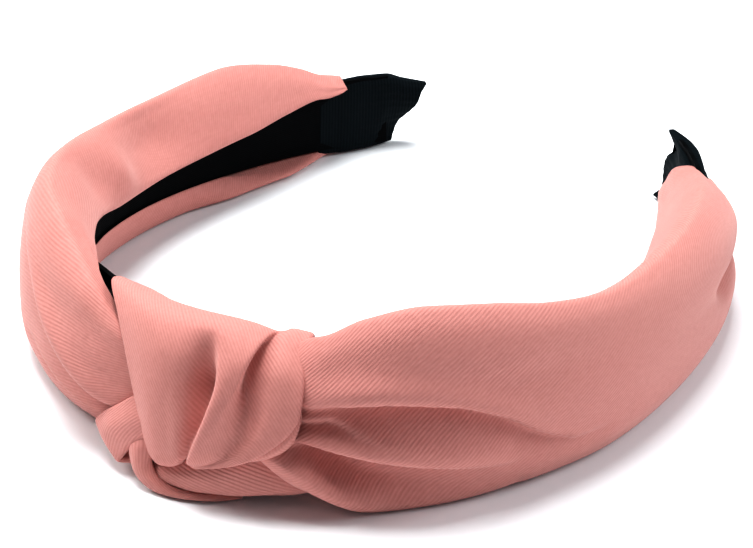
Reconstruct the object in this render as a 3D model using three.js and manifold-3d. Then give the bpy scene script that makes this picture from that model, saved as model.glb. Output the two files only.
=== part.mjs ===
// Knotted headband, lying on its edge.
// Units are millimetres. X runs across the head, the knot is at -Y, the open
// ends are at +Y, and Z is up from the surface the headband lies on.
import * as THREE from 'three';
import Module from 'manifold-3d';

const wasm = await Module();
wasm.setup();

// ---------------------------------------------------------------- sizes (mm)
const CROWN_Y = -75;            // the hoop's middle, before centring
const CENTRE_X = 1.915;          // shift that centres the part on its origin
const CENTRE_Y = -4.497;
const CROWN_HEIGHT = 22.6;      // hoop's mid-height at the knot
const TIP_HEIGHT = 10.2;        // and at the two tips, which lie lower
const TIP_Y = 82.8;             // how far forward the tips reach
const STRIP_HALF_HEIGHT = 6.5;  // moulded strip
const STRIP_HALF_THICK = 1.0;
const LINING_HALF_HEIGHT = 9.3; // ribbon on the strip's inner face
const LINING_NEAR = -1.3;
const LINING_FAR = -2.3;
const JOINT_GAP = 0.3;          // half the cut between crown and arm
const SLEEVE_LENGTH = 18;
const STRIP_INSET = 8;          // the strip stops this far short of the sleeve ends
const SLEEVE_HALF_HEIGHT = 10.2;

// Bend of each half of the hoop at equal steps from its middle to the tip, in
// 1/metre, the half's length, and where along it the arm starts to flex. The
// knot sits a few millimetres to the left of the middle.
const LEFT = {side: -1, length: 200.8, hinge: 17, bend: [13.2, 18.4, 11.7, 5.5, 12.5]};
const RIGHT = {side: 1, length: 195, hinge: 6, bend: [13.2, 17.4, 8.1, 8.3, 12.3]};

// Fabric arm: distance from the middle, bottom, top, bulge outwards, and how
// far down the inner side the folded top edge hangs.
const LEFT_COVER = [
  {s: 26.5, bottom: 2.5, top: 33, bulge: 8, hang: 1, tuck: -1.5},
  {s: 45, bottom: 1.0, top: 39, bulge: 10.5, hang: 4, tuck: -3.2},
  {s: 75, bottom: 0.5, top: 41, bulge: 11, hang: 14, tuck: -3.2},
  {s: 105, bottom: 0.4, top: 37, bulge: 10.5, hang: 14, tuck: -3.2},
  {s: 140, bottom: 0.4, top: 34.5, bulge: 8.5, hang: 9, tuck: -3.2},
  {s: 160, bottom: 0.4, top: 29, bulge: 6.5, hang: 5, tuck: 2.4},
  {s: 182.4, bottom: 0.4, top: 23.4, bulge: 4.2, hang: 1, tuck: 2.4},
];
const RIGHT_COVER = [
  {s: 20.2, bottom: 3.0, top: 36, bulge: 8, hang: 1, tuck: -1.5},
  {s: 40, bottom: 1.0, top: 41.5, bulge: 10, hang: 4, tuck: -3.2},
  {s: 70, bottom: 0.5, top: 38, bulge: 9.5, hang: 5, tuck: -3.2},
  {s: 105, bottom: 0.4, top: 36.5, bulge: 8.5, hang: 5, tuck: -3.2},
  {s: 140, bottom: 0.4, top: 34.5, bulge: 8.5, hang: 5, tuck: -3.2},
  {s: 158, bottom: 0.4, top: 29, bulge: 6.5, hang: 3, tuck: 2.4},
  {s: 176.6, bottom: 0.4, top: 23.4, bulge: 4.2, hang: 1, tuck: 2.4},
];

// ------------------------------------------------------------------ materials
function fabric(colour) {
  return new THREE.MeshStandardMaterial({color: colour, roughness: 0.85});
}

const PINK = 0xd98a80;
const BLACK = 0x101216;

// ------------------------------------------------------------------- the hoop
function mix(a, b, t) {
  return a + (b - a) * t;
}

function bendAt(half, s) {
  const position = Math.min(Math.max(s / half.length, 0), 1) * (half.bend.length - 1);
  const low = Math.min(Math.floor(position), half.bend.length - 2);
  return mix(half.bend[low], half.bend[low + 1], position - low) / 1000;
}

// Walks from the middle of the hoop and returns its point, its outward
// direction and its mid-height at each requested distance.
function walk(half, distances) {
  const step = 0.5;
  const stations = [];
  let angle = 0;
  let x = 0;
  let y = CROWN_Y;
  let s = 0;
  for (const target of distances) {
    while (s < target - 1e-9) {
      const length = Math.min(step, target - s);
      const turned = angle + bendAt(half, s + length / 2) * length;
      const heading = (angle + turned) / 2;
      x += Math.cos(heading) * length;
      y += Math.sin(heading) * length;
      angle = turned;
      s += length;
    }
    const t = (y - CROWN_Y) / (TIP_Y - CROWN_Y);
    stations.push({
      s,
      x: half.side * x,
      y,
      outX: half.side * Math.sin(angle),
      outY: -Math.cos(angle),
      z: mix(CROWN_HEIGHT, TIP_HEIGHT, t),
    });
  }
  return stations;
}

function evenly(from, to, count) {
  return Array.from({length: count + 1}, (_, i) => mix(from, to, i / count));
}

// --------------------------------------------------------------- solid makers
function signedVolume(points, triangles) {
  let total = 0;
  for (let i = 0; i < triangles.length; i += 3) {
    const [a, b, c] = [points[triangles[i]], points[triangles[i + 1]], points[triangles[i + 2]]];
    total += a.dot(new THREE.Vector3().crossVectors(b, c)) / 6;
  }
  return total;
}

// Fills an outline with triangles that run the same way round as it does.
function capTriangles(outline) {
  const sense = Math.sign(THREE.ShapeUtils.area(outline));
  return THREE.ShapeUtils.triangulateShape([...outline], []).map((triangle) => {
    const area = THREE.ShapeUtils.area(triangle.map((i) => outline[i]));
    return Math.sign(area) === sense ? triangle : [...triangle].reverse();
  });
}

// Joins rings of the same number of points into one closed solid.
function loft(rings, capOutline) {
  const count = rings[0].length;
  const points = rings.flat();
  let triangles = [];
  for (let r = 0; r + 1 < rings.length; r += 1) {
    for (let i = 0; i < count; i += 1) {
      const j = (i + 1) % count;
      const a = r * count + i;
      const b = r * count + j;
      const c = (r + 1) * count + i;
      const d = (r + 1) * count + j;
      triangles.push(a, b, d, a, d, c);
    }
  }
  const last = (rings.length - 1) * count;
  for (const [a, b, c] of capTriangles(capOutline[0])) {
    triangles.push(c, b, a);
  }
  for (const [a, b, c] of capTriangles(capOutline[1])) {
    triangles.push(last + a, last + b, last + c);
  }
  if (signedVolume(points, triangles) < 0) {
    triangles = triangles.reverse();
  }
  const geometry = new THREE.BufferGeometry();
  geometry.setAttribute('position', new THREE.Float32BufferAttribute(points.flatMap((p) => [p.x, p.y, p.z]), 3));
  geometry.setIndex(triangles);
  return geometry;
}

// Sweeps a section, given as [outward, height] pairs, along hoop stations.
function sweep(stations, sectionAt) {
  const sections = stations.map(sectionAt);
  const rings = stations.map((at, i) => sections[i].map(
    ([out, height]) => new THREE.Vector3(at.x + at.outX * out, at.y + at.outY * out, height),
  ));
  const outline = (section) => section.map(([out, height]) => new THREE.Vector2(out, height));
  return loft(rings, [outline(sections[0]), outline(sections[sections.length - 1])]);
}

function box(out0, out1, low, high) {
  return [[out0, low], [out1, low], [out1, high], [out0, high]];
}

function toManifold(geometry) {
  const mesh = new wasm.Mesh({
    numProp: 3,
    vertProperties: new Float32Array(geometry.getAttribute('position').array),
    triVerts: new Uint32Array(geometry.getIndex().array),
  });
  return new wasm.Manifold(mesh);
}

function fromManifold(solid) {
  const mesh = solid.getMesh();
  const geometry = new THREE.BufferGeometry();
  geometry.setAttribute('position', new THREE.BufferAttribute(new Float32Array(mesh.vertProperties), 3));
  geometry.setIndex(new THREE.BufferAttribute(new Uint32Array(mesh.triVerts), 1));
  return geometry;
}

// ------------------------------------------------------------- hoop and lining
function stripSection(at) {
  return box(-STRIP_HALF_THICK, STRIP_HALF_THICK, at.z - STRIP_HALF_HEIGHT, at.z + STRIP_HALF_HEIGHT);
}

function liningSection(at) {
  return box(LINING_FAR, LINING_NEAR, at.z - LINING_HALF_HEIGHT, at.z + LINING_HALF_HEIGHT);
}

// The station at a signed distance, negative on the left of the middle.
function stationAt(s) {
  return walk(s < 0 ? LEFT : RIGHT, [Math.abs(s)])[0];
}

function crownStations() {
  return evenly(JOINT_GAP - LEFT.hinge, RIGHT.hinge - JOINT_GAP, 5).map(stationAt);
}

function armStations(half, to, count) {
  return walk(half, evenly(half.hinge + JOINT_GAP, to, count));
}

// ------------------------------------------------------------------ end sleeve
// A ribbon folded round the tip: a pocket closed at the far end.
function endSleeve(half) {
  const start = half.length - SLEEVE_LENGTH;
  const outside = sweep(
    walk(half, evenly(start, half.length + 1.6, 4)),
    (at) => box(-3.4, 2.2, at.z - SLEEVE_HALF_HEIGHT, at.z + SLEEVE_HALF_HEIGHT),
  );
  const pocket = sweep(
    walk(half, evenly(start - 2, half.length + 0.4, 4)),
    (at) => box(-2.7, 1.4, at.z - LINING_HALF_HEIGHT - 0.3, at.z + LINING_HALF_HEIGHT + 0.3),
  );
  return fromManifold(toManifold(outside).subtract(toManifold(pocket)));
}

// ------------------------------------------------------------------ fabric arms
function rowAt(rows, s) {
  const last = rows[rows.length - 1];
  const next = rows.findIndex((row) => row.s >= s);
  if (next <= 0) {
    return next === 0 ? rows[0] : last;
  }
  const [a, b] = [rows[next - 1], rows[next]];
  const t = (s - a.s) / (b.s - a.s);
  const blend = {};
  for (const key of Object.keys(a)) {
    blend[key] = mix(a[key], b[key], t);
  }
  return blend;
}

// The fabric stands outside the hoop, folds over its top edge and tucks in
// under its bottom edge.
function coverSection(rows) {
  return (at) => {
    const row = rowAt(rows, at.s);
    const over = at.z + LINING_HALF_HEIGHT + 0.5;
    const under = Math.max(at.z - LINING_HALF_HEIGHT - 0.5, row.bottom + 0.6);
    const height = row.top - row.bottom;
    const lip = over - Math.min(row.hang, over - under - 2);
    return [
      [row.tuck, row.bottom],
      [Math.max(row.bulge * 0.55, row.tuck + 0.6), row.bottom],
      [row.bulge * 0.92, row.bottom + height * 0.12],
      [row.bulge, row.bottom + height * 0.38],
      [row.bulge * 0.92, row.bottom + height * 0.66],
      [row.bulge * 0.62, row.bottom + height * 0.88],
      [0.8, row.top],
      [-3.4, row.top - 0.8],
      [-5.2, Math.max(over + 0.6, row.top - 5)],
      [-4.6, lip],
      [-2.9, lip],
      [-2.9, over],
      [1.6, over],
      [1.6, under],
      [row.tuck, under],
    ];
  };
}

function cover(half, rows) {
  const from = rows[0].s;
  const to = rows[rows.length - 1].s;
  return sweep(walk(half, evenly(from, to, 26)), coverSection(rows));
}

// ------------------------------------------------------------------- the knot
// A band of the knot: a section as [outward, height] pairs, between two signed
// distances along the hoop that may differ with height.
function band(section, leftEdge, rightEdge) {
  const slices = 6;
  const ring = (t) => section.map(([out, height]) => {
    const at = stationAt(mix(leftEdge(height), rightEdge(height), t));
    return new THREE.Vector3(at.x + at.outX * out, at.y + at.outY * out, height);
  });
  const outline = section.map(([out, height]) => new THREE.Vector2(out, height));
  return loft(evenly(0, 1, slices).map(ring), [outline, outline]);
}

// The broad wrap that comes over the hoop's top edge and narrows downwards.
function frontWrap() {
  const section = [
    [-6.4, 26], [-6.4, 32.6], [-4.8, 35], [0, 36], [4.5, 34.4], [9.5, 29.6], [13.2, 22],
    [14.8, 14], [13.4, 7], [11.2, 7.2], [12.2, 14], [10.6, 21], [7.2, 27.6], [3.2, 32.2],
    [0, 33], [-3.2, 33], [-4.2, 32], [-4.2, 26],
  ];
  const left = (height) => -23 + 11 * Math.min(1, Math.max(0, (31 - height) / 22));
  const right = (height) => 6.5 - 4 * Math.max(0, (26 - height) / 20);
  return band(section, left, right);
}

// The second, narrower wrap beside it.
function sideWrap() {
  const section = [
    [-6, 26], [-6, 32.4], [-4.5, 34.6], [0, 35.4], [4.4, 33.8], [9, 29], [12.4, 22],
    [13.8, 15], [12.2, 9.5], [10.2, 10], [11.4, 15], [10, 21], [6.9, 27], [3, 31.8],
    [0, 32.8], [-3.2, 32.8], [-4.2, 32], [-4.2, 26],
  ];
  const left = (height) => 7 - 4 * Math.max(0, (26 - height) / 20);
  const right = (height) => 17.5 - 7 * Math.max(0, (21 - height) / 11);
  return band(section, left, right);
}

// The wraps' continuation down the inner side of the hoop.
function backWrap() {
  const section = [[-6.6, 12.6], [-6.6, 25.6], [-4.2, 25.6], [-4.2, 12.6]];
  return band(section, () => -21, () => 14);
}

// The strand the wraps are tied round, in front of the hoop.
function core() {
  const section = [[4.4, 12.4], [11, 13.4], [9.8, 20.4], [6.6, 26.6], [4.4, 29]];
  return band(section, () => -20, () => 13);
}

// A strand that loops out under the left of the knot.
function lowerLoop() {
  const section = [[6.5, 5], [9.5, 3.2], [12.5, 4.6], [12.2, 9], [9.6, 13], [7, 12]];
  return band(section, () => -22, () => -15.5);
}

// The strands gathered along the bottom, which rest on the surface.
function bottomStrand() {
  const section = [
    [-5.5, 0], [10, 0], [14.4, 2], [14.4, 5], [10.8, 6.2], [8, 11.3], [-4, 11.8], [-6.4, 7],
  ];
  return band(section, () => -14, () => 10);
}

// ------------------------------------------------------------------- assembly
const assembly = new THREE.Group();
assembly.name = 'knotted_headband';

function addPiece(name, geometry, colour) {
  const placed = geometry.index ? geometry.toNonIndexed() : geometry;
  placed.translate(-CENTRE_X, -CENTRE_Y, 0);
  placed.computeVertexNormals();
  const mesh = new THREE.Mesh(placed, fabric(colour));
  mesh.name = name;
  assembly.add(mesh);
}

function addArm(side, half, rows) {
  const stripEnd = half.length - STRIP_INSET;
  addPiece(`hoop_${side}_arm`, sweep(armStations(half, stripEnd, 24), stripSection), BLACK);
  addPiece(`lining_${side}`, sweep(armStations(half, stripEnd - 0.5, 24), liningSection), BLACK);
  addPiece(`end_sleeve_${side}`, endSleeve(half), BLACK);
  addPiece(`cover_${side}`, cover(half, rows), PINK);
}

addPiece('hoop_crown', sweep(crownStations(), stripSection), BLACK);
addPiece('lining_crown', sweep(crownStations(), liningSection), BLACK);
addPiece('knot_core', core(), PINK);
addPiece('knot_front_wrap', frontWrap(), PINK);
addPiece('knot_side_wrap', sideWrap(), PINK);
addPiece('knot_back_wrap', backWrap(), PINK);
addPiece('knot_lower_loop', lowerLoop(), PINK);
addPiece('knot_bottom_strand', bottomStrand(), PINK);
addArm('left', LEFT, LEFT_COVER);
addArm('right', RIGHT, RIGHT_COVER);

export default assembly;
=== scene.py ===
"""Looks for the knotted headband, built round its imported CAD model.

Shapes are worked out in millimetres in hoop coordinates: s is the signed distance along the
hoop from its middle (negative on the left), out is the distance outwards from the hoop's
centreline, and height is above the floor. place() turns them into metres in the row frame.
"""
import math

import bmesh
import bpy
import numpy as np
from mathutils import Matrix, Vector


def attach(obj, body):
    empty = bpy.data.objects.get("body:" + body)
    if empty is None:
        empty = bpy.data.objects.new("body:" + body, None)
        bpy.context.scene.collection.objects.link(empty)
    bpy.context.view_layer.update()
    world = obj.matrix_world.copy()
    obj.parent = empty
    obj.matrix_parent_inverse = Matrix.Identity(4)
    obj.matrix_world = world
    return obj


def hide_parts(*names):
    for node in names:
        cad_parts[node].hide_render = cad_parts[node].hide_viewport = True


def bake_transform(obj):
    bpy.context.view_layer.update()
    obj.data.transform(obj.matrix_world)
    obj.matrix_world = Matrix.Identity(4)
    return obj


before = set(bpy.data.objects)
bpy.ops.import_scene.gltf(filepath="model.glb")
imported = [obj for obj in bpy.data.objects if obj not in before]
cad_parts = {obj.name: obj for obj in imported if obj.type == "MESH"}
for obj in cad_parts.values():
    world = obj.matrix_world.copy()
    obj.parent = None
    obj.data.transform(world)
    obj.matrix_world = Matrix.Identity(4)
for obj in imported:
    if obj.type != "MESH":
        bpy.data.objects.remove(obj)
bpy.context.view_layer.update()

# ------------------------------------------------------------- the hoop (mm)
CENTRE = (1.915, -4.497)
CROWN_Y = -75.0
TIP_Y = 82.8
CROWN_HEIGHT = 22.6
TIP_HEIGHT = 10.2
LINING_HALF = 9.3
LEFT_LENGTH = 200.8
RIGHT_LENGTH = 195.0
OVERRUN = 10
LEFT_BEND = (13.2, 18.4, 11.7, 5.5, 12.5)
RIGHT_BEND = (13.2, 17.4, 8.1, 8.3, 12.3)


def hoop_half(length, bend):
    """Distances, points and headings along one half of the hoop."""
    s = np.linspace(0, length + OVERRUN, 2201)
    curvature = np.interp(s, np.linspace(0, length, len(bend)), bend) / 1000
    step = s[1] - s[0]
    heading = np.concatenate([[0], np.cumsum((curvature[1:] + curvature[:-1]) / 2 * step)])
    middle = (heading[1:] + heading[:-1]) / 2
    x = np.concatenate([[0], np.cumsum(np.cos(middle) * step)])
    y = np.concatenate([[0], np.cumsum(np.sin(middle) * step)])
    return s, x, y + CROWN_Y, heading


LEFT_LINE = hoop_half(LEFT_LENGTH, LEFT_BEND)
RIGHT_LINE = hoop_half(RIGHT_LENGTH, RIGHT_BEND)


def hoop(s):
    """Point, outward direction and mid-height of the hoop at signed distances s."""
    s = np.asarray(s, float)
    side = np.where(s < 0, -1.0, 1.0)
    pick = [
        np.where(s < 0, np.interp(-s, LEFT_LINE[0], LEFT_LINE[i]), np.interp(s, RIGHT_LINE[0], RIGHT_LINE[i]))
        for i in (1, 2, 3)
    ]
    x, y, heading = side * pick[0], pick[1], pick[2]
    share = (y - CROWN_Y) / (TIP_Y - CROWN_Y)
    mid_height = CROWN_HEIGHT + (TIP_HEIGHT - CROWN_HEIGHT) * share
    return x, y, side * np.sin(heading), -np.cos(heading), mid_height


def place(s, out, height):
    """Hoop coordinates in millimetres to points in the row frame in metres."""
    s, out, height = np.broadcast_arrays(np.asarray(s, float), out, height)
    x, y, out_x, out_y, _ = hoop(s)
    points = np.stack([x + out_x * out - CENTRE[0], y + out_y * out - CENTRE[1], height], -1)
    return points / 1000


# ------------------------------------------------------------- curve helpers
def hermite(keys, rows, tangent, at):
    """Cubic through rows of values with the given tangents."""
    gap = np.diff(keys)
    i = np.clip(np.searchsorted(keys, at) - 1, 0, len(gap) - 1)
    t = ((at - keys[i]) / gap[i]).reshape((-1,) + (1,) * (rows.ndim - 1))
    h = gap[i].reshape(t.shape)
    return (
        (2 * t**3 - 3 * t**2 + 1) * rows[i] + (t**3 - 2 * t**2 + t) * h * tangent[i]
        + (3 * t**2 - 2 * t**3) * rows[i + 1] + (t**3 - t**2) * h * tangent[i + 1]
    )


def smooth(keys, rows, at):
    """Monotone cubic through rows of values, so nothing overshoots its keys."""
    keys = np.asarray(keys, float)
    rows = np.asarray(rows, float)
    at = np.clip(np.asarray(at, float), keys[0], keys[-1])
    gap = np.diff(keys)
    shape = (-1,) + (1,) * (rows.ndim - 1)
    slope = np.diff(rows, axis=0) / gap.reshape(shape)
    tangent = np.zeros_like(rows)
    tangent[0], tangent[-1] = slope[0], slope[-1]
    before, after = gap[:-1].reshape(shape), gap[1:].reshape(shape)
    first, second = slope[:-1], slope[1:]
    weight_a, weight_b = 2 * after + before, after + 2 * before
    with np.errstate(divide="ignore", invalid="ignore"):
        mean = (weight_a + weight_b) / (weight_a / first + weight_b / second)
    tangent[1:-1] = np.where(first * second > 0, mean, 0)
    return hermite(keys, rows, tangent, at)


def rounded(keys, rows, at):
    """Smooth curve through rows of values, with the tangents of a thin flexible batten."""
    keys = np.asarray(keys, float)
    rows = np.asarray(rows, float)
    gap = np.diff(keys)
    shape = (-1,) + (1,) * (rows.ndim - 1)
    slope = np.diff(rows, axis=0) / gap.reshape(shape)
    tangent = np.empty_like(rows)
    tangent[0], tangent[-1] = slope[0], slope[-1]
    before, after = gap[:-1].reshape(shape), gap[1:].reshape(shape)
    tangent[1:-1] = (slope[:-1] * after + slope[1:] * before) / (before + after)
    return hermite(keys, rows, tangent, at)


def positions(steps, least):
    """Where each of a row of steps ends, from 0, counting none as shorter than the least."""
    return np.concatenate([[0], np.cumsum(np.maximum(steps, least))])


def closed_loop(control, count):
    """A closed smooth outline through control points shaped (points, stations, 2), and its keys."""
    reach = np.linalg.norm(np.diff(control, axis=0, append=control[:1]), axis=2).mean(1)
    keys = positions(reach, 0.4)
    total = keys[-1]
    around = np.concatenate([control[-3:], control, control[:4]])
    wrapped = np.concatenate([keys[-4:-1] - total, keys[:-1], keys[:4] + total])
    return rounded(wrapped, around, np.linspace(0, total, count, endpoint=False)), keys


def bump(x, width):
    """A soft hill, 1 at x = 0."""
    return np.exp(-(np.asarray(x) / width) ** 2)


# -------------------------------------------------------------- mesh helpers
def make_object(name, points, faces, uv=None):
    """A smooth-shaded mesh object from metre points, with its cloth map in millimetres."""
    mesh = bpy.data.meshes.new(name)
    mesh.from_pydata([tuple(p) for p in points], [], faces)
    mesh.validate()
    if uv is not None:
        layer = mesh.uv_layers.new(name="cloth")
        corner = np.empty(len(mesh.loops), int)
        mesh.loops.foreach_get("vertex_index", corner)
        layer.data.foreach_set("uv", np.asarray(uv, np.float32)[corner].ravel())
    for polygon in mesh.polygons:
        polygon.use_smooth = True
    obj = bpy.data.objects.new(name, mesh)
    bpy.context.collection.objects.link(obj)
    return obj


def turn_cloth(across, along, grain):
    """The cloth map turned by the angle of its grain in degrees."""
    turn = math.radians(grain)
    across, along = np.broadcast_arrays(across, along)
    return np.stack([
        across * math.cos(turn) - along * math.sin(turn),
        across * math.sin(turn) + along * math.cos(turn),
    ], -1)


def tube_faces(rings, count):
    """Faces of a closed tube of rings, with both ends filled."""
    faces = []
    for r in range(rings - 1):
        for i in range(count):
            j = (i + 1) % count
            faces.append((r * count + i, r * count + j, (r + 1) * count + j, (r + 1) * count + i))
    faces.append(tuple(reversed(range(count))))
    faces.append(tuple(range((rings - 1) * count, rings * count)))
    return faces


def fix_normals(obj):
    """Turns every face outwards."""
    work = bmesh.new()
    work.from_mesh(obj.data)
    bmesh.ops.recalc_face_normals(work, faces=work.faces)
    work.to_mesh(obj.data)
    work.free()
    return obj


# ----------------------------------------------------------------- materials
def new_material(name):
    """A node material, with its nodes, links and principled shader."""
    material = bpy.data.materials.new(name)
    material.use_nodes = True
    nodes = material.node_tree.nodes
    return material, nodes, material.node_tree.links, nodes["Principled BSDF"]


def math_node(nodes, links, operation, *inputs):
    """The output of a math node fed by numbers or other nodes' outputs."""
    node = nodes.new("ShaderNodeMath")
    node.operation = operation
    for i, value in enumerate(inputs):
        if isinstance(value, (int, float)):
            node.inputs[i].default_value = value
        else:
            links.new(value, node.inputs[i])
    return node.outputs[0]


def unit_wave(nodes, links, phase):
    """A sine of the phase, brought between 0 and 1."""
    wave = math_node(nodes, links, "SINE", phase)
    half = math_node(nodes, links, "MULTIPLY", wave, 0.5)
    return math_node(nodes, links, "ADD", half, 0.5)


def cloth_waves(nodes, links, angle, pitch):
    """A 0 to 1 wave across the cloth map, at an angle in degrees and a pitch in millimetres."""
    coordinate = nodes.new("ShaderNodeUVMap")
    coordinate.uv_map = "cloth"
    split = nodes.new("ShaderNodeSeparateXYZ")
    links.new(coordinate.outputs["UV"], split.inputs[0])
    turn = math.radians(angle)
    across = math_node(nodes, links, "MULTIPLY", split.outputs[0], -math.sin(turn) * 2 * math.pi / pitch)
    along = math_node(nodes, links, "MULTIPLY", split.outputs[1], math.cos(turn) * 2 * math.pi / pitch)
    phase = math_node(nodes, links, "ADD", across, along)
    return unit_wave(nodes, links, phase)


TWILL_DARK = (0.47, 0.182, 0.16, 1)
TWILL_LIGHT = (0.69, 0.334, 0.30, 1)
TWILL_PITCH = 0.64
LINING_TONES = (0.0012, 0.0016, 0.002, 1), (0.006, 0.0075, 0.0095, 1)
SLEEVE_TONES = (0.0045, 0.0075, 0.0095, 1), (0.012, 0.0175, 0.021, 1)
LINING_RIB_PITCH = 0.55
SLEEVE_RIB_PITCH = 0.9


def twill(name):
    """Coral pink twill: diagonal ribs, fine cross threads, slow colour drift and a soft sheen."""
    material, nodes, links, shader = new_material(name)
    ribs = cloth_waves(nodes, links, 0, TWILL_PITCH)
    coordinate = nodes.new("ShaderNodeUVMap")
    coordinate.uv_map = "cloth"
    stretch = nodes.new("ShaderNodeMapping")
    stretch.inputs["Scale"].default_value = (0.8, 2.6, 1)
    links.new(coordinate.outputs["UV"], stretch.inputs["Vector"])
    yarn = nodes.new("ShaderNodeTexNoise")
    yarn.inputs["Scale"].default_value = 1.0
    yarn.inputs["Detail"].default_value = 2
    links.new(stretch.outputs[0], yarn.inputs["Vector"])
    drift = nodes.new("ShaderNodeTexNoise")
    drift.inputs["Scale"].default_value = 55
    drift.inputs["Detail"].default_value = 3
    ramp = nodes.new("ShaderNodeMix")
    ramp.data_type = "RGBA"
    ramp.inputs["A"].default_value = TWILL_DARK
    ramp.inputs["B"].default_value = TWILL_LIGHT
    lift = math_node(nodes, links, "MULTIPLY", ribs, 0.25)
    fine = math_node(nodes, links, "MULTIPLY", yarn.outputs[0], 0.42)
    slow = math_node(nodes, links, "MULTIPLY", drift.outputs[0], 0.30)
    first = math_node(nodes, links, "ADD", lift, fine)
    share = math_node(nodes, links, "ADD", first, slow)
    lifted = math_node(nodes, links, "SUBTRACT", share, 0.02)
    links.new(lifted, ramp.inputs["Factor"])
    links.new(ramp.outputs["Result"], shader.inputs["Base Color"])
    weave = math_node(nodes, links, "MULTIPLY", yarn.outputs[0], 0.6)
    height = math_node(nodes, links, "ADD", ribs, weave)
    relief = nodes.new("ShaderNodeBump")
    relief.inputs["Strength"].default_value = 0.42
    relief.inputs["Distance"].default_value = 0.00012
    links.new(height, relief.inputs["Height"])
    links.new(relief.outputs["Normal"], shader.inputs["Normal"])
    shader.inputs["Roughness"].default_value = 0.68
    shader.inputs["Specular IOR Level"].default_value = 0.28
    shader.inputs["Sheen Weight"].default_value = 0.25
    shader.inputs["Sheen Roughness"].default_value = 0.45
    shader.inputs["Sheen Tint"].default_value = (1.0, 0.82, 0.78, 1)
    return material


def object_waves(nodes, links, axis, pitch):
    """A 0 to 1 wave along an axis of the object, with its pitch in millimetres."""
    coordinate = nodes.new("ShaderNodeTexCoord")
    split = nodes.new("ShaderNodeSeparateXYZ")
    links.new(coordinate.outputs["Object"], split.inputs[0])
    phase = math_node(nodes, links, "MULTIPLY", split.outputs[axis], 2 * math.pi / (pitch / 1000))
    return unit_wave(nodes, links, phase)


def black_ribbon(name, tones, mapped):
    """Black grosgrain ribbon: fine ribs, dusty variation and a low satin gloss.

    A mapped ribbon's ribs stand across its cloth map; the CAD's own pieces have no map.
    """
    material, nodes, links, shader = new_material(name)
    if mapped:
        ribs = cloth_waves(nodes, links, 90, SLEEVE_RIB_PITCH)
    else:
        ribs = object_waves(nodes, links, "Z", LINING_RIB_PITCH)
    grain = nodes.new("ShaderNodeTexNoise")
    grain.inputs["Scale"].default_value = 900
    grain.inputs["Detail"].default_value = 4
    tone = nodes.new("ShaderNodeMix")
    tone.data_type = "RGBA"
    tone.inputs["A"].default_value, tone.inputs["B"].default_value = tones
    mixed = math_node(nodes, links, "MULTIPLY", ribs, grain.outputs[0])
    links.new(mixed, tone.inputs["Factor"])
    links.new(tone.outputs["Result"], shader.inputs["Base Color"])
    relief = nodes.new("ShaderNodeBump")
    relief.inputs["Strength"].default_value = 0.35
    relief.inputs["Distance"].default_value = 0.0001
    dust = math_node(nodes, links, "MULTIPLY", grain.outputs[0], 0.4)
    height = math_node(nodes, links, "ADD", ribs, dust)
    links.new(height, relief.inputs["Height"])
    links.new(relief.outputs["Normal"], shader.inputs["Normal"])
    shader.inputs["Roughness"].default_value = 0.7
    shader.inputs["Specular IOR Level"].default_value = 0.06
    return material


def black_plastic(name):
    """Satin black moulded plastic with a faint mould texture."""
    material, nodes, links, shader = new_material(name)
    grain = nodes.new("ShaderNodeTexNoise")
    grain.inputs["Scale"].default_value = 600
    tone = nodes.new("ShaderNodeMix")
    tone.data_type = "RGBA"
    tone.inputs["A"].default_value = (0.004, 0.0045, 0.005, 1)
    tone.inputs["B"].default_value = (0.010, 0.011, 0.013, 1)
    links.new(grain.outputs[0], tone.inputs["Factor"])
    links.new(tone.outputs["Result"], shader.inputs["Base Color"])
    relief = nodes.new("ShaderNodeBump")
    relief.inputs["Strength"].default_value = 0.1
    relief.inputs["Distance"].default_value = 0.0001
    links.new(grain.outputs[0], relief.inputs["Height"])
    links.new(relief.outputs["Normal"], shader.inputs["Normal"])
    shader.inputs["Roughness"].default_value = 0.42
    shader.inputs["Specular IOR Level"].default_value = 0.15
    return material


def paint(obj, material):
    """Gives an object one material."""
    obj.data.materials.clear()
    obj.data.materials.append(material)
    return obj


# --------------------------------------------------------------- fabric arms
# Section of an arm at a distance from the middle: floor clearance, top, where the top ridge
# is, bulge outwards, where the folded inner edge hangs, and how far the bottom tucks in.
LEFT_ARM = (
    # distance, low, top, ridge, bulge, lip_out, lip, tuck
    (14,   4.5, 25.5, 5.2, 8.0, 4.6, 24.0, 3.0),
    (20,   2.8, 27.6, 5.2, 9.6, 4.4, 26.0, 2.8),
    (25,   1.2, 29.8, 4.6, 10.8, 3.6, 28.4, 2.4),
    (30,   0.8, 32.4, 4.0, 11.2, 2.4, 31.0, 1.6),
    (36,   0.6, 34.4, 2.8, 11.0, -0.4, 32.6, -0.4),
    (42,   0.6, 36.0, 2.2, 10.6, -2.8, 32.0, -2.2),
    (50,   0.6, 38.0, 2.0, 10.2, -4.9, 29.4, -3.2),
    (62,   0.6, 38.6, 2.6, 10.2, -6.6, 27.0, -2.4),
    (75,   0.8, 37.2, 2.6, 9.9, -7.2, 23.6, -1.4),
    (90,   1.8, 35.4, 1.6, 9.7, -7.8, 19.6, -0.6),
    (104,  1.2, 33.6, 0.9, 9.4, -8.5, 18.3, -1.2),
    (125,  0.6, 32.4, 1.0, 8.6, -9.2, 17.8, -3.0),
    (142,  0.6, 32.7, 1.2, 7.6, -9.4, 18.3, -6.2),
    (158,  0.6, 29.7, 0.8, 5.8, -7.4, 19.2, -5.8),
    (168,  0.6, 26.0, 0.6, 4.6, -5.6, 19.6, -3.6),
    (173,  0.6, 23.6, -0.2, 3.9, -5.0, 19.0, -1.8),
    (177,  0.8, 22.7, -0.7, 3.5, -4.6, 19.4, -0.6),
    (178.8, 1.0, 22.2, -0.9, 3.2, -4.2, 20.0, 0.2),
)
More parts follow.
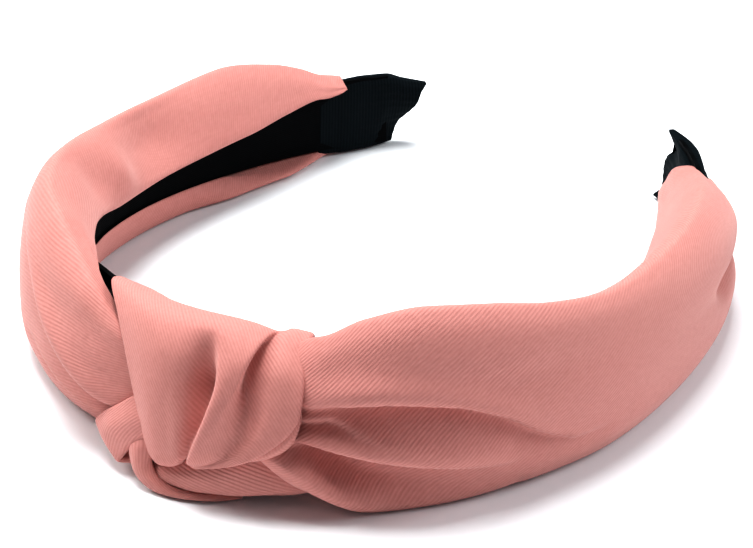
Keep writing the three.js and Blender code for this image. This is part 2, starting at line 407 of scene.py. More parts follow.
RIGHT_ARM = (
    # distance, low, top, ridge, bulge, lip_out, lip, tuck
    (7,    5.0, 28.0, 3.0, 6.6, 2.0, 27.0, 3.0),
    (12,   2.6, 30.4, 2.2, 8.0, 1.0, 29.0, 3.2),
    (16,   1.2, 33.4, 1.6, 9.4, -0.4, 31.4, 2.6),
    (21,   0.7, 36.2, 3.0, 10.6, -1.0, 33.0, 1.4),
    (27,   0.6, 39.4, 2.4, 11.0, -3.0, 32.4, -0.8),
    (38,   0.6, 42.0, 2.2, 10.8, -4.6, 28.5, -2.6),
    (50,   0.6, 41.0, 2.0, 10.2, -5.4, 24.5, -3.6),
    (64,   0.6, 37.9, 2.0, 9.4, -5.8, 21.0, -4.0),
    (80,   0.6, 35.0, 1.8, 8.8, -6.2, 18.6, -4.0),
    (100,  0.6, 33.8, 0.6, 8.4, -7.8, 17.6, -4.0),
    (120,  0.6, 33.0, -0.4, 8.5, -9.8, 17.4, -3.6),
    (140,  0.6, 30.0, -1.6, 8.0, -11.2, 15.0, -4.6),
    (154,  0.6, 26.0, -2.0, 5.8, -11.0, 12.5, -6.0),
    (164,  0.6, 22.8, -2.2, 3.8, -10.0, 10.8, -6.0),
    (170,  1.0, 21.2, -2.4, 2.6, -8.8, 10.0, -5.0),
    (172.5, 1.4, 20.4, -2.4, 2.2, -8.0, 9.6, -4.4),
)
AROUND = 220  # points round an arm's section
STATIONS = 260  # sections along an arm
FLOOR_GAP = 0.12  # lowest that any cloth reaches
RIGHT_GRAIN = -38  # degrees the right arm's ribs are turned by
END_SLANT_FROM = 150  # the right arm's cloth ends on a slant, which starts here
# The left arm's lower edge turns up over the lining by this much, at these distances.
BRIM_AT = (40, 58, 90, 105, 122, 140, 158)
BRIM_RISE = (0, 1.6, 1.9, 1.3, 0.8, 0.4, 0)
LINING_CLEARANCE = 0.5
# The outline's points, in order, that bound its outer face and the flap's shown and hidden layers.
OUTER_FACE = (1, 9)
SHOWN_FLAP = (8, 11)
HIDDEN_FLAP = (12, 15)
# The left arm's ribs: distance, how far they climb round the cloth for each millimetre along
# the arm, and how much the map is stretched round the cloth.
LEFT_RIBS = (
    (14, -0.30, 0.95),
    (45, -0.35, 0.92),
    (80, -1.3, 0.65),
    (180, -1.9, 0.55),
)


def leaning_cloth(distances, around):
    """The left arm's cloth map: its ribs lie along the arm at the knot and cross it at the bend."""
    table = np.array(LEFT_RIBS, float)
    lean, spread = smooth(table[:, 0], table[:, 1:], distances).T
    climb = np.concatenate([[0], np.cumsum((lean * spread)[1:] * np.diff(distances))])
    along = spread * around[:, None] - climb
    return np.stack([np.broadcast_to(distances, along.shape), along], -1)


def arm_outline(side, rows, distances):
    """Outline of the fabric at each station, its points' positions round it, and its top.

    The outline is shaped (around, stations, 2), each point being out and height.
    """
    table = np.array(rows, float)
    low, top, ridge, bulge, lip_out, lip, tuck = smooth(table[:, 0], table[:, 1:], distances).T
    middle = hoop(side * distances)[-1]
    height = top - low
    over = middle + LINING_HALF + LINING_CLEARANCE
    under = np.maximum(middle - LINING_HALF - LINING_CLEARANCE, low + 0.9)
    lip = np.minimum(lip, top - 1.2)
    shoulder = ridge - 2.6
    flap_out = shoulder + (lip_out - shoulder) * 0.64
    flap = (top - 1.6) + (lip - top + 1.6) * 0.5
    inside = np.maximum(1.9, np.minimum(ridge, 2.4))
    brim = np.interp(distances, BRIM_AT, BRIM_RISE) if side < 0 else np.zeros_like(low)
    curl = np.clip(brim / 0.4, 0, 1)
    hem_out = np.minimum(tuck + 0.4, 1.9)
    hem = np.minimum(under, low + 1.9)
    outer = [  # from the tuck underneath, up the belly, over the ridge and down the flap to its lip
        (tuck, low + 0.2),
        (tuck + 0.5 * (bulge * 0.5 - tuck), low),
        (bulge * 0.62, low + 0.25),
        (bulge * 0.93, low + height * 0.13),
        (bulge, low + height * 0.36),
        (bulge * 0.94, low + height * 0.6),
        (bulge * 0.72 + ridge * 0.1, low + height * 0.82),
        (ridge + (bulge - ridge) * 0.25, top - height * 0.035),
        (ridge, top),
        (shoulder, top - 1.3),
        (flap_out - 0.5, flap),
        (lip_out, lip),
    ]
    inner = [  # back up behind the flap, over the lining's top edge and down to the brim and hem
        (lip_out + 0.9, lip + 0.1),
        (flap_out + 0.9, flap),
        (shoulder + 1.3, top - 2.8),
        (np.maximum(ridge, 0.6) + 0.4, np.maximum(top - 4.2, np.minimum(over, top - 1.8))),
        (inside, np.minimum(over - 1.5, top - 6)),
        (inside - 0.2, middle),
        (inside, under + 0.5),
        (inside + (-0.4 - inside) * curl, under + 0.3 - 0.6 * curl),
        (hem_out + (-3.1 - hem_out) * curl, hem + (under + 0.3 + brim - hem) * curl),
    ]
    control = np.array([[np.broadcast_to(part, low.shape) for part in pair] for pair in outer + inner])
    loop, keys = closed_loop(np.moveaxis(control, 1, 2), AROUND)
    return loop, keys, top


def section_normals(loop):
    """Unit normals of each outline, pointing out of the cloth."""
    ahead = np.roll(loop, -1, axis=0) - np.roll(loop, 1, axis=0)
    normal = np.stack([ahead[..., 1], -ahead[..., 0]], -1)
    return normal / np.maximum(np.linalg.norm(normal, axis=-1, keepdims=True), 1e-9)


def between(position, keys, bounds, fade_in, fade_out):
    """1 between two of the outline's points, fading to 0 at each over so many millimetres."""
    rising = np.clip((position - keys[bounds[0]]) / fade_in, 0, 1)
    return rising * np.clip((keys[bounds[1]] - position) / fade_out, 0, 1)


def fabric_arm(name, side, rows, folds):
    """The cloth along one arm: a closed pressed tube that wraps the hoop."""
    start, end = rows[0][0], rows[-1][0]
    distances = np.linspace(start, end, STATIONS)
    loop, keys, top = arm_outline(side, rows, distances)
    normal = section_normals(loop)
    position = np.linspace(0, keys[-1], AROUND, endpoint=False)
    face = between(position, keys, OUTER_FACE, 4, 4)
    depth = folds(distances[None, :], loop[..., 1]) * face[:, None]
    if side < 0:
        shown = between(position, keys, SHOWN_FLAP, 3, 2)
        hidden = between(position, keys, HIDDEN_FLAP, 2, 3)
        relief = left_flap(distances[None, :], loop[..., 1], top[None, :])
        depth += relief * (shown - hidden)[:, None]
    loop = loop + normal * depth[..., None]
    loop[..., 1] = np.maximum(loop[..., 1], FLOOR_GAP)
    near_end = np.clip((distances - END_SLANT_FROM) / (end - END_SLANT_FROM), 0, 1) ** 2
    slant = near_end[None, :] * np.clip(-loop[..., 0] - 3, -3, 5) * (side > 0)
    points = place(side * (distances[None, :] + slant), loop[..., 0], loop[..., 1])
    around = np.linalg.norm(np.diff(points, axis=0, prepend=points[:1]), axis=-1).mean(1).cumsum() * 1000
    if side < 0:
        uv = leaning_cloth(distances, around)
    else:
        uv = turn_cloth(distances[None, :], around[:, None], RIGHT_GRAIN)
    grid = np.moveaxis(points, 0, 1).reshape(-1, 3)
    obj = make_object(name, grid, tube_faces(len(distances), AROUND), np.moveaxis(uv, 0, 1).reshape(-1, 2))
    return fix_normals(obj)


def line(s, *pairs):
    """A smooth height or depth along an arm, from (distance, value) pairs."""
    table = np.array(pairs, float)
    return smooth(table[:, 0], table[:, 1], np.ravel(s)).reshape(np.shape(s))


def ledge(x, soft, reach):
    """Depth under an overhanging fold: nothing above x = 0, a sharp step, then a slow rise."""
    x = np.asarray(x)
    return np.exp(np.minimum(x, 0) / reach) / (1 + np.exp(np.clip(x / soft, -40, 40)))


def right_folds(s, height):
    """Gathers that fan out of the knot, and the fold that closes the arm towards its tip."""
    first = line(s, (7, 22), (17, 22.8), (24, 24.6), (31, 25.3), (42, 23.9), (51, 20.0), (58, 14.6), (66, 10))
    second = line(s, (7, 18), (17, 19.4), (22, 20.6), (27, 18.8), (34, 16))
    third = line(s, (7, 14.5), (16, 15.0), (23, 14.6), (31, 13.2), (39, 11.6), (52, 9))
    rim = line(s, (7, 15.5), (13, 14.6), (18, 12.2), (23, 8.6), (28, 5.6), (36, 3.6), (50, 3))
    hem = line(s, (7, 13), (10.2, 11.2), (13, 8.2), (16.2, 5.0), (19, 2.6), (23, 0))
    valley = line(s, (100, 19), (118, 17), (130, 15.2), (145, 15.6), (160, 13), (176, 11))
    crease = line(s, (7, 1.5), (18, 3.4), (28, 5.4), (44, 5.0), (54, 4.2), (64, 1.8), (76, 0))
    push = -crease * ledge(height - first, 0.3, 6)
    push += line(s, (7, 0), (17, 0.3), (26, 1.6), (44, 1.3), (62, 0)) * bump(height - first - 2.5, 3.0)
    push -= line(s, (7, 1.4), (17, 3.0), (24, 2.2), (34, 0)) * ledge(height - second, 0.3, 2.4)
    push += line(s, (7, 0.6), (17, 1.4), (28, 3.2), (40, 2.4), (54, 0)) * bump(height - third - 2.6, 3.2)
    undercut = line(s, (7, 0), (15, 3.0), (22, 5.4), (32, 4.6), (44, 1.8), (58, 0))
    push -= undercut * ledge(height - third, 0.3, 30)
    below_rim = height - rim + 1.6
    rim_shape = np.where(below_rim > 0, bump(below_rim, 2.6), bump(below_rim, 6.5))
    push += line(s, (7, 5.0), (17, 7.2), (24, 6.6), (32, 4.8), (44, 1.8), (56, 0)) * rim_shape
    push -= line(s, (7, 6), (16, 6), (20, 3.6), (25, 0)) * ledge(height - hem, 0.3, 30)
    push -= line(s, (28, 0), (44, 0.9), (62, 1.0), (84, 0.3), (100, 0)) * bump(height - 27, 5)
    pocket = line(s, (96, 0), (116, 0.8), (130, 4.6), (148, 4.2), (162, 1.6), (176, 0))
    push -= pocket * bump(height - valley, 3.2)
    return push


def left_folds(s, height):
    """Gathers beside the knot: the upper layer laps over the lower one."""
    upper = line(
        s, (14, 10.5), (21.7, 11.4), (25.4, 12.8), (32.5, 16.6), (39.2, 20.6), (45.6, 24.2), (62, 32))
    lower = line(s, (14, 5.2), (26, 5.6), (34, 6.6), (42, 8.4), (52, 11))
    lap = line(s, (14, 2.6), (24, 3.8), (36, 4.6), (45, 4.4), (54, 3.2), (70, 0))
    push = -lap * ledge(height - upper, 0.3, 11)
    push += line(s, (14, 0.5), (27, 1.1), (38, 1.1), (50, 0.5), (58, 0)) * bump(height - upper - 2.4, 2.6)
    push -= line(s, (14, 1.2), (26, 1.9), (36, 1.8), (48, 0.6), (54, 0)) * ledge(height - lower, 0.25, 3)
    dip = line(s, (20, 24), (40, 27), (60, 30))
    push -= line(s, (20, 0), (34, 0.8), (46, 0.6), (60, 0)) * bump(height - dip, 3.5)
    return push


def left_flap(s, height, top):
    """The folded-over flap: a hollow beside the bend and a soft crest on its near side."""
    drop = top - height
    hollow = -2.6 * bump(s - 112, 12) * bump(drop - 6, 6)
    crest = 2.1 * bump(s - 93, 6) * bump(drop - 9, 6)
    dip = -0.8 * bump(s - 80, 5) * bump(drop - 6, 5)
    return hollow + crest + dip


# ---------------------------------------------------------------- build: arms
pink = twill("pink_twill_cloth")
ribbon = black_ribbon("black_ribbon", LINING_TONES, mapped=False)
sleeve_ribbon = black_ribbon("black_sleeve_ribbon", SLEEVE_TONES, mapped=True)
plastic = black_plastic("black_plastic")

for node in ("hoop_crown", "hoop_left_arm", "hoop_right_arm"):
    paint(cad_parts[node], plastic)
for node in ("lining_crown", "lining_left", "lining_right"):
    paint(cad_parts[node], ribbon)

left_arm = paint(fabric_arm("fabric_arm_left", -1, LEFT_ARM, left_folds), pink)
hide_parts("cover_left")
tuple(place(-20, 0, 20))
tuple(place(-40, 0, 20))
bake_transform(left_arm)

right_arm = paint(fabric_arm("fabric_arm_right", 1, RIGHT_ARM, right_folds), pink)
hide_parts("cover_right")
tuple(place(10, 0, 20))
tuple(place(30, 0, 20))
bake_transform(right_arm)

# ---------------------------------------------------------------------- knot
HUNG_FROM = 0.36  # where along the front cloth its map starts: at the top of the knot
KNOT_HEART = (4, 17)  # out and height of the middle of the knot, which every band faces away from
EDGE_STEPS = 6  # steps in the half round along a band's edges


def strap(name, columns, thickness, grain, across=110, along=170, hung=False):
    """A folded band of cloth through columns of (s, out, height) points, with rounded edges.

    Its cloth map runs across and along the band, or along the hoop and down when it is hung.
    """
    columns = np.asarray(columns, float)
    down = np.linalg.norm(np.diff(columns, axis=1), axis=2).mean(0)
    down_keys = positions(down, 0.3)
    rows = rounded(down_keys, np.moveaxis(columns, 1, 0), np.linspace(0, down_keys[-1], along))
    over = np.linalg.norm(np.diff(columns, axis=0), axis=2).mean(1)
    over_keys = positions(over, 0.3)
    sheet = rounded(over_keys, np.moveaxis(rows, 1, 0), np.linspace(0, over_keys[-1], across))
    outer = place(sheet[..., 0], sheet[..., 1], sheet[..., 2]) * 1000
    sideways = np.gradient(outer, axis=0)
    lengthways = np.gradient(outer, axis=1)
    normal = np.cross(lengthways, sideways)
    normal /= np.maximum(np.linalg.norm(normal, axis=-1, keepdims=True), 1e-9)
    away = outer - place(sheet[..., 0], *KNOT_HEART) * 1000
    if (normal * away).sum() < 0:
        normal = -normal
    stride = np.linalg.norm(np.diff(outer, axis=1), axis=2)
    run = np.concatenate([np.zeros((across, 1)), np.cumsum(stride, axis=1)], axis=1)
    width = np.linalg.norm(np.diff(outer, axis=0), axis=2).sum(0).mean()
    if hung:
        reach = sheet[..., 0]
        run = run - run[:, [int(HUNG_FROM * (along - 1))]]
    else:
        reach = np.broadcast_to(np.linspace(-0.5, 0.5, across)[:, None] * width, run.shape)
    flat = np.stack([reach, run], -1)
    half = thickness / 2

    def edge(index, sign):
        """Half a round of cloth from the outer layer to the inner one."""
        away = outer[index] - outer[index - sign]
        away -= normal[index] * (away * normal[index]).sum(-1, keepdims=True)
        away /= np.maximum(np.linalg.norm(away, axis=-1, keepdims=True), 1e-9)
        centre = outer[index] - normal[index] * half
        ring, ring_flat = [], []
        for k in range(1, EDGE_STEPS):
            turn = math.pi * k / EDGE_STEPS
            ring.append(centre + half * (math.cos(turn) * normal[index] + math.sin(turn) * away))
            ring_flat.append(flat[index] + np.array([sign * half * turn, 0]))
        return ring, ring_flat

    right_ring, right_flat = edge(across - 1, 1)
    left_ring, left_flat = edge(0, -1)
    inner = outer - normal * thickness
    rings = list(outer) + right_ring + list(inner[::-1]) + left_ring[::-1]
    flats = list(flat) + right_flat + list(flat[::-1]) + left_flat[::-1]
    rings = np.moveaxis(np.array(rings), 0, 1)
    flats = np.moveaxis(np.array(flats), 0, 1)
    cloth = turn_cloth(flats[..., 0], flats[..., 1], grain)
    faces = tube_faces(along, rings.shape[1])
    obj = make_object(name, rings.reshape(-1, 3) / 1000, faces, cloth.reshape(-1, 2))
    return fix_normals(obj)


# The front panel and the band beside it are one cloth: left edge, left lobe, valley, ridge,
# lapped fold, and the right-hand band, each from under the knot up the inside and down the front.
FRONT = (
    ((-14, 3, 3), (-22, -5.4, 5.6), (-27, -6.3, 16), (-29.6, -6.0, 25), (-30.6, -4.4, 30.2),
     (-28.8, 0.0, 32.4), (-22.2, 4.4, 30.4), (-17.6, 7.6, 26.0), (-14.8, 9.6, 21.4),
     (-12.4, 11.1, 15.6), (-10.2, 12.4, 10.0), (-8.4, 12.9, 6.6), (-7.6, 11.0, 5.0), (-7.2, 7.0, 4.6)),
    ((-11, 3, 3), (-17, -5.4, 5.6), (-20, -6.4, 16), (-22, -6.1, 26), (-21.6, -4.2, 31.6), (-19.4, 0.8, 33.6),
     (-15.8, 5.0, 33.2), (-12.4, 8.8, 29.2), (-10.2, 11.4, 23.3), (-8.8, 13.0, 16.8), (-7.6, 13.9, 10.4),
     (-6.8, 13.8, 6.6), (-6.6, 11.4, 5.0), (-6.4, 7.0, 4.6)),
    ((-7, 3, 3), (-10, -4.4, 6), (-12, -5.3, 16), (-13.4, -5.1, 26), (-13, -3.3, 31.8), (-11.6, 0.8, 34.4),
     (-9.4, 5.2, 34.0), (-7.2, 9.2, 30.4), (-6.0, 11.6, 24.5), (-5.2, 13.2, 17.6), (-4.6, 14.2, 11.2),
     (-4.2, 14.0, 7.4), (-4.6, 11.6, 5.8), (-5.0, 7.0, 5.0)),
    ((-4, 3, 3), (-4, -4.8, 6), (-4, -5.8, 16), (-5, -5.6, 26), (-5, -3.4, 32.0), (-4.6, 0.8, 34.8),
     (-3.8, 5.2, 34.2), (-3.0, 8.7, 29.8), (-2.6, 10.6, 23.8), (-2.4, 12.9, 17.8), (-2.6, 14.1, 12.2),
     (-2.8, 13.8, 8.4), (-3.2, 11.4, 6.8), (-3.8, 7.0, 5.6)),
    ((-1, 3, 3), (1, -4.6, 6), (0, -5.4, 16), (-0.6, -5.3, 26), (-0.8, -3.4, 32.2), (-0.6, 0.8, 35.0),
     (-0.2, 5.0, 34.2), (0.6, 6.6, 28.8), (1.1, 6.4, 23.8), (0.9, 10.0, 18.4), (-0.5, 12.6, 13.6),
     (-1.5, 13.2, 9.8), (-2.4, 11.4, 8.2), (-3.2, 7.0, 6.0)),
    ((2, 3, 3), (4.5, -4.8, 6), (4, -5.8, 16), (3.2, -5.6, 26), (2.8, -3.4, 32.2), (2.8, 0.8, 35.1),
     (2.8, 5.2, 34.4), (3.2, 9.2, 30.8), (3.5, 12.0, 26.7), (2.6, 14.2, 21.6), (1.2, 15.3, 16.0),
     (-0.5, 15.0, 10.4), (-1.2, 13.4, 8.7), (-2.6, 8.5, 6.6)),
    ((5, 3, 3), (8, -4.4, 6), (7.6, -5.3, 16), (6.8, -5.1, 26), (6.4, -3.3, 32.0), (6.4, 0.8, 34.9),
     (6.4, 5.0, 34.2), (6.2, 9.2, 31.2), (5.8, 11.8, 26.9), (4.8, 13.9, 21.8), (3.0, 15.1, 16.2),
     (0.6, 15.2, 10.9), (-0.8, 13.8, 8.7), (-2.4, 8.8, 6.6)),
    ((6.5, 3, 3), (9.4, -4.2, 6), (9.4, -4.9, 16), (9.2, -4.6, 26), (9.6, -3.0, 31.6), (10.0, 0.6, 34.0),
     (9.2, 4.4, 33.6), (8.2, 7.9, 31.4), (7.2, 10.4, 27.8), (6.2, 12.4, 22.8), (4.9, 14.0, 17.0),
     (2.3, 15.0, 11.4), (-0.4, 13.9, 8.7), (-2.0, 9, 6.6)),
    ((6.5, 3, 3), (9.6, -5.0, 5.6), (9.8, -5.8, 16), (10.4, -5.6, 26), (10.9, -4.2, 31.4), (10.6, 0.5, 33.2),
     (8.4, 3.5, 32.1), (7.0, 5.6, 29.2), (6.9, 7.6, 25.8), (7.9, 9.8, 21.4), (7.2, 12.4, 16.6),
     (4.0, 14.4, 11.7), (-0.1, 14.0, 8.7), (-1.6, 9, 6.6)),
    ((8, 3, 3), (12, -5.4, 5.6), (12.6, -6.2, 16), (12.8, -6.0, 26), (12.9, -4.6, 31.6), (12.9, -0.8, 33.9),
     (12.6, 4.2, 32.2), (12.4, 7.8, 29.6), (12.2, 10.0, 25.8), (12.0, 11.8, 21.4), (10.2, 13.1, 16.9),
     (6.0, 14.5, 12.1), (0.3, 14.1, 8.7), (-1.2, 9.2, 6.4)),
    ((10, 3, 3), (15, -5.6, 5.6), (16.2, -6.2, 16), (16.4, -6.0, 26), (16.4, -4.6, 31.4), (16.6, -0.8, 33.5),
     (16.7, 4.0, 31.4), (17.0, 7.4, 29.0), (16.9, 10.0, 25.4), (16.2, 11.7, 21.2), (13.2, 13.2, 16.8),
     (7.6, 14.5, 12.0), (0.8, 14.2, 8.7), (-0.8, 9.4, 6.2)),
)
LOWER_LOOP = (
    ((-4, 6.5, 21.0), (-9.5, 8.0, 19.3), (-13.8, 9.3, 16.6), (-17.2, 10.4, 13.3), (-20.6, 10.9, 9.9),
     (-22.2, 11.2, 7.0), (-21.2, 10.2, 5.0), (-18, 8, 5.0)),
    ((-3, 8, 17), (-7.6, 10.4, 15.8), (-12.0, 11.7, 13.7), (-15.6, 12.3, 11.0), (-18.2, 12.6, 8.3),
     (-19.2, 12.5, 5.0), (-18.2, 11.2, 3.2), (-15, 8, 3.6)),
    ((0, 9, 13), (-5.6, 11.2, 12.6), (-10.1, 12.2, 11.0), (-12.9, 13.1, 8.2), (-14.6, 13.4, 5.4),
     (-15.9, 13.2, 2.6), (-15.2, 11.4, 1.6), (-12.5, 8.5, 1.8)),
)
OUTER_STRAND = (
    ((-17.0, 8.0, 10.0), (-13.0, 11.0, 10.4), (-10.3, 12.3, 9.8), (-9.0, 12.8, 7.6), (-8.3, 13.4, 5.0),
     (-7.0, 13.9, 3.4), (-4.0, 13.9, 2.0), (-0.6, 13.2, 1.8), (3.5, 11.6, 1.6), (7, 9.4, 1.4)),
    ((-17.0, 8.6, 7.4), (-13.9, 12.0, 8.0), (-11.6, 13.9, 7.0), (-10.3, 14.6, 5.2), (-8.9, 15.0, 3.6),
     (-7.1, 15.1, 2.5), (-4.2, 14.9, 1.4), (-0.6, 14.1, 1.2), (3.5, 12.2, 1.1), (7, 9.8, 1.0)),
    ((-16.4, 8.4, 5.0), (-14.2, 11.6, 5.8), (-12.6, 13.4, 4.9), (-11.2, 14.5, 3.4), (-9.4, 15.0, 1.9),
     (-7.3, 15.1, 1.0), (-4.4, 14.9, 0.7), (-0.6, 14.0, 0.7), (3.5, 12.2, 0.7), (7, 9.8, 0.7)),
    ((-15, 6, 3.4), (-12.6, 9, 3.0), (-11.0, 10.6, 2.4), (-9.6, 11.4, 1.6), (-8.0, 11.8, 0.9),
     (-6.0, 11.8, 0.5), (-3.4, 11.4, 0.4), (0, 10.6, 0.4), (4, 9.4, 0.4), (7, 8.2, 0.4)),
)
MAIN_STRAND = (
    ((-10.6, 7, 8), (-7.0, 9.0, 8.2), (-3.0, 9.4, 9.2), (3, 9.4, 11.0), (8, 8.8, 12.6), (12, 7.8, 13),
     (16, 6.6, 12), (20, 5, 11)),
    ((-10.4, 9.4, 6.0), (-7.3, 11.2, 6.0), (-3.0, 11.7, 6.8), (3, 11.8, 8.6), (8, 11.0, 10.0),
     (12, 9.4, 10.2), (16, 8.0, 10), (20, 6, 9)),
    ((-10.0, 10.8, 4.6), (-7.6, 12.9, 4.0), (-3.0, 13.4, 4.6), (3, 13.1, 5.9), (8, 12.1, 7.0),
     (12, 10.8, 7.4), (16, 9.4, 7.6), (20, 7, 7)),
    ((-9.4, 10.8, 3.4), (-7.2, 12.9, 2.5), (-2.6, 13.3, 2.3), (3, 12.9, 2.9), (8, 12.2, 3.6), (12, 11.2, 4.4),
     (16, 10.0, 4.8), (20, 8, 5)),
    ((-8.6, 9, 2.6), (-6.2, 11.0, 1.4), (-2.2, 11.4, 0.9), (3, 10.8, 1.4), (8, 10.2, 2.0), (12, 9.4, 2.6),
     (16, 8.6, 3.0), (20, 7, 3.6)),
)
TUCKED_ROLL = (
    ((3, 11, 12), (8.4, 12.6, 13.6), (12.0, 12.6, 15.8), (15.0, 11.6, 18.6), (16.6, 9.8, 22),
     (16.8, 7.6, 26)),
    ((3, 11.4, 10.8), (8.8, 13.1, 12.3), (12.5, 13.0, 14.4), (15.5, 12.0, 17.2), (17.1, 10.0, 20.8),
     (17.0, 7.8, 25)),
    ((3, 10.4, 9.6), (8.8, 12.0, 11.3), (12.7, 12.0, 13.2), (15.8, 11.2, 16.0), (17.2, 9.2, 19.8),
     (17.0, 7.2, 24)),
)


CORE_FROM, CORE_TO = -19, 11
CORE_OUT, CORE_OUT_REACH = 3.2, 3.6
CORE_HEIGHT, CORE_HEIGHT_REACH = 15.0, 11.0
CORE_STATIONS, CORE_AROUND = 40, 48
CORE_GIRTH = 9  # millimetres of cloth to each radian round the core


def core_body():
    """The soft inner turns of the knot, seen only through the gaps between its bands."""
    share = np.linspace(0, 1, CORE_STATIONS)[:, None]
    size = np.sqrt(np.clip(1 - (2 * share - 1) ** 2, 0.02, 1))
    turn = np.linspace(0, 2 * math.pi, CORE_AROUND, endpoint=False)[None, :]
    s, turn = np.broadcast_arrays(CORE_FROM + (CORE_TO - CORE_FROM) * share, turn)
    out = CORE_OUT + CORE_OUT_REACH * size * np.cos(turn)
    height = CORE_HEIGHT + CORE_HEIGHT_REACH * size * np.sin(turn)
    flat = np.stack([s, turn * CORE_GIRTH], -1)
    faces = tube_faces(CORE_STATIONS, CORE_AROUND)
    obj = make_object("knot_core_cloth", place(s, out, height).reshape(-1, 3), faces, flat.reshape(-1, 2))
    return fix_normals(obj)


KNOT_PIECES = (
    (core_body(), ("knot_core",)),
    (strap("knot_front_cloth", FRONT, 1.5, grain=-52, across=240, along=300, hung=True),
     ("knot_front_wrap", "knot_side_wrap", "knot_back_wrap")),
    (strap("knot_lower_loop_cloth", LOWER_LOOP, 1.5, grain=-75), ("knot_lower_loop",)),
    (strap("knot_outer_strand", OUTER_STRAND, 1.4, grain=-70), ()),
    (strap("knot_main_strand", MAIN_STRAND, 1.4, grain=-70), ("knot_bottom_strand",)),
    (strap("knot_tucked_roll", TUCKED_ROLL, 1.2, grain=-20, across=40), ()),
)
for piece, stands_for in KNOT_PIECES:
    paint(piece, pink)
    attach(piece, "knot")
    if stands_for:
        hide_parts(*stands_for)


# ------------------------------------------------------------------- sleeves
# Ribbon folded round each tip: distance, bottom, top, inner face, outer face.
LEFT_SLEEVE = (
    (172, 1.4, 19.6, -2.4, 1.2),
    (177.4, 1.0, 19.8, -2.6, 1.4),
    (178.8, 0.8, 20.4, -2.8, 1.5),
    (184, 0.7, 20.4, -3.1, 1.8),
    (190, 0.7, 20.1, -3.1, 1.9),
    (193.2, 0.8, 19.9, -3.0, 2.0),
    (197, 1.4, 18.6, -3.0, 2.0),
    (204, 1.8, 17.0, -2.8, 2.2),
)
RIGHT_SLEEVE = (
    (158, 2.2, 20.4, -2.6, 1.0),
    (166, 1.6, 20.2, -2.9, 1.1),
    (172, 1.0, 19.8, -4.6, 1.3),
    (178, 0.8, 19.6, -4.2, 2.0),
    (183, 0.7, 19.6, -3.6, 2.7),
    (188, 0.7, 19.6, -3.2, 3.3),
    (192, 0.8, 19.6, -3.0, 3.2),
    (198, 0.8, 19.8, -2.8, 2.6),
)
# The ragged mouth of each ribbon: level from its bottom edge (0) to its top one (1), distance.
LEFT_END = (
    (0, 194.4), (0.12, 195.2), (0.3, 196.6), (0.42, 198.4), (0.62, 200.4), (0.85, 201.6), (1, 203.4),
)
RIGHT_END = (
    (0, 195.4), (0.08, 194.2), (0.22, 192.6), (0.5, 192.9),
    (0.66, 192.0), (0.82, 190.0), (0.92, 191.0), (1, 194.2),
)


SLEEVE_AROUND = 160
SLEEVE_RINGS = 70  # from the cloth to the mouth
MOUTH_RINGS = 10  # back inside the mouth
MOUTH_BACK = 0.9  # share of the sleeve's length where its hollow mouth ends
RIBBON_WALL = 0.35
PLEAT_DEPTH = 0.07
PLEATS = 9
FACE_SHIFT = 40  # sets the outer face's part of the cloth map apart from the inner one's


def end_sleeve(name, side, rows, end, ripple):
    """A flattened tube of ribbon with a raw wavy mouth, hollow for its last few millimetres."""
    table = np.array(rows, float)
    turn = np.linspace(0, 2 * math.pi, SLEEVE_AROUND, endpoint=False)
    rise = np.sin(turn)
    level = np.sign(rise) * np.abs(rise) ** 0.8 * 0.5 + 0.5
    face = np.sign(np.cos(turn)) * np.abs(np.cos(turn)) ** 0.25 * 0.5 + 0.5
    ends = smooth([e[0] for e in end], np.array([[e[1]] for e in end]), level)[:, 0]
    share = np.concatenate([np.linspace(0, 1, SLEEVE_RINGS), np.linspace(1, MOUTH_BACK, MOUTH_RINGS)])
    wall = np.concatenate([np.zeros(SLEEVE_RINGS), np.full(MOUTH_RINGS, RIBBON_WALL)])
    first = table[0, 0]
    distance = first + (ends[None, :] - first) * share[:, None]
    values = smooth(table[:, 0], table[:, 1:], distance.ravel()).reshape(distance.shape + (4,))
    low, top, inner, outer = np.moveaxis(values, -1, 0)
    pull = wall[:, None]
    height = low + pull + (top - low - 2 * pull) * level[None, :]
    close = 1 - 0.55 * np.clip((share[:, None] - 0.7) / 0.3, 0, 1)
    middle = (inner + outer) / 2
    out = middle + ((outer - inner) / 2 - pull) * (face[None, :] * 2 - 1) * close
    flare = np.clip((share[:, None] - 0.45) / 0.55, 0, 1) ** 2
    out = out + flare * ripple(level[None, :])
    pleat = PLEAT_DEPTH * np.sin(level[None, :] * 2 * math.pi * PLEATS)
    out = out + pleat * np.clip((share[:, None] - 0.3) / 0.5, 0, 1) * np.sign(face[None, :] - 0.5)
    points = place(side * distance, out, height)
    flat = np.stack([distance, height + FACE_SHIFT * (face[None, :] > 0.5)], -1)
    faces = tube_faces(SLEEVE_RINGS + MOUTH_RINGS, SLEEVE_AROUND)
    obj = make_object(name, points.reshape(-1, 3), faces, flat.reshape(-1, 2))
    return fix_normals(obj)


def left_ripple(level):
    """The left mouth leans inwards at the top and folds back on itself half way down."""
    return 1.4 * np.sin(level * 6.0 + 0.2) - 1.2 * level


def right_ripple(level):
    """The right mouth curls inwards at both its corners."""
    return -1.5 + 1.0 * bump(level - 0.84, 0.12) - 1.4 * np.clip(0.15 - level, 0, 1) / 0.15


for name, side, rows, end, ripple, body in (
    ("sleeve_left", -1, LEFT_SLEEVE, LEFT_END, left_ripple, "left_arm"),
    ("sleeve_right", 1, RIGHT_SLEEVE, RIGHT_END, right_ripple, "right_arm"),
):
    sleeve = paint(end_sleeve(name, side, rows, end, ripple), sleeve_ribbon)
    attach(sleeve, body)
    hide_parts("end_" + name)


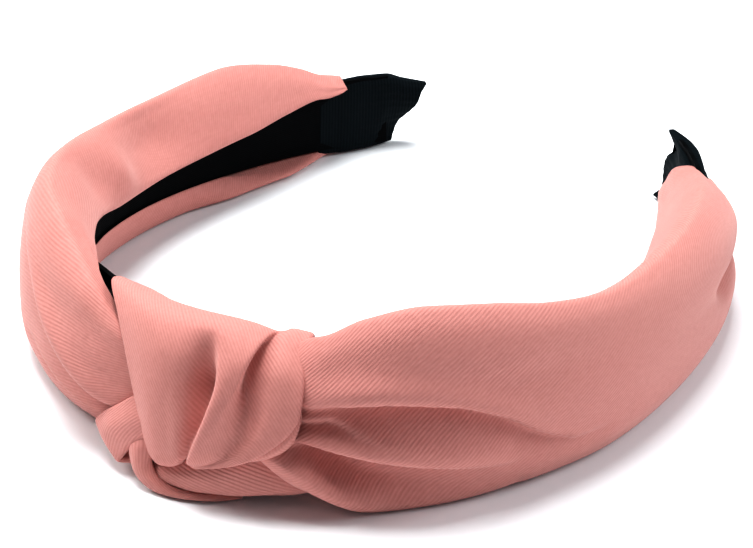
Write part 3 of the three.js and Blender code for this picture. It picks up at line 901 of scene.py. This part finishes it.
# --------------------------------------------------------------------- stage
LAMP_SIZE = 0.5
LAMPS = (
    # name, position, target, power, colour
    ("left_soft", (-0.72, -0.12, 0.62), (-0.02, 0, 0), 3.6, (1.0, 0.99, 0.98)),
    ("right_soft", (0.70, 0.27, 0.56), (0.02, 0, 0), 3.0, (0.96, 0.98, 1.0)),
    ("top_soft", (-0.16, 0.08, 0.83), (0, 0, 0), 7.4, (1.0, 1.0, 1.0)),
)
FLOOR_SIDE = 6.0
FLOOR_COLOUR = (0.92, 0.95, 0.97, 1)
SURROUND_COLOUR = (0.93, 0.96, 1.0, 1)
SURROUND_STRENGTH = 0.16


def add_light(name, position, target, power, colour):
    """A round soft lamp, in metres and watts, turned to face its target."""
    data = bpy.data.lights.new(name, "AREA")
    data.shape = "DISK"
    data.size = LAMP_SIZE
    data.energy = power
    data.color = colour
    lamp = bpy.data.objects.new(name, data)
    lamp.location = position
    direction = Vector(target) - Vector(position)
    lamp.rotation_euler = direction.to_track_quat("-Z", "Y").to_euler()
    bpy.context.collection.objects.link(lamp)


def build_stage():
    """A plain pale floor, a bright surround and soft lights."""
    corners = [(x * FLOOR_SIDE, y * FLOOR_SIDE, 0) for x, y in ((-1, -1), (1, -1), (1, 1), (-1, 1))]
    floor = make_object("floor", corners, [(0, 1, 2, 3)])
    material, _, _, shader = new_material("floor_white")
    shader.inputs["Base Color"].default_value = FLOOR_COLOUR
    shader.inputs["Roughness"].default_value = 0.9
    shader.inputs["Specular IOR Level"].default_value = 0.1
    paint(floor, material)
    world = bpy.data.worlds.new("surround")
    world.use_nodes = True
    background = world.node_tree.nodes["Background"]
    background.inputs["Color"].default_value = SURROUND_COLOUR
    background.inputs["Strength"].default_value = SURROUND_STRENGTH
    bpy.context.scene.world = world
    for lamp in LAMPS:
        add_light(*lamp)


# -------------------------------------------------------------------- camera
# Degrees and millimetres; the target is in the hoop's own frame, before CENTRE is taken off.
VIEW_TURN = 22.57
VIEW_RISE = 29.99
VIEW_ROLL = 1.97
VIEW_DISTANCE = 400.3
VIEW_TARGET = (9.51, -24.24, 20.0)
SENSOR_WIDTH = 36
LENS = 89.986


def build_camera():
    """Looks down on the knot from the front, a little to its right."""
    turn, rise, roll = (math.radians(a) for a in (VIEW_TURN, VIEW_RISE, VIEW_ROLL))
    back = Vector((math.sin(turn) * math.cos(rise), -math.cos(turn) * math.cos(rise), math.sin(rise)))
    right = Vector((math.cos(turn), math.sin(turn), 0))
    up = back.cross(right)
    level_right = right * math.cos(roll) + up * math.sin(roll)
    level_up = up * math.cos(roll) - right * math.sin(roll)
    target = Vector((VIEW_TARGET[0] - CENTRE[0], VIEW_TARGET[1] - CENTRE[1], VIEW_TARGET[2]))
    location = (target + back * VIEW_DISTANCE) / 1000
    data = bpy.data.cameras.new("camera")
    data.sensor_width = SENSOR_WIDTH
    data.lens = LENS
    data.clip_start = 0.01
    camera = bpy.data.objects.new("camera", data)
    camera.matrix_world = Matrix((
        (level_right.x, level_up.x, back.x, location.x),
        (level_right.y, level_up.y, back.y, location.y),
        (level_right.z, level_up.z, back.z, location.z),
        (0, 0, 0, 1),
    ))
    bpy.context.collection.objects.link(camera)
    bpy.context.scene.camera = camera


build_stage()
build_camera()
bpy.context.scene.view_settings.view_transform = "Standard"
bpy.context.scene.view_settings.look = "High Contrast"
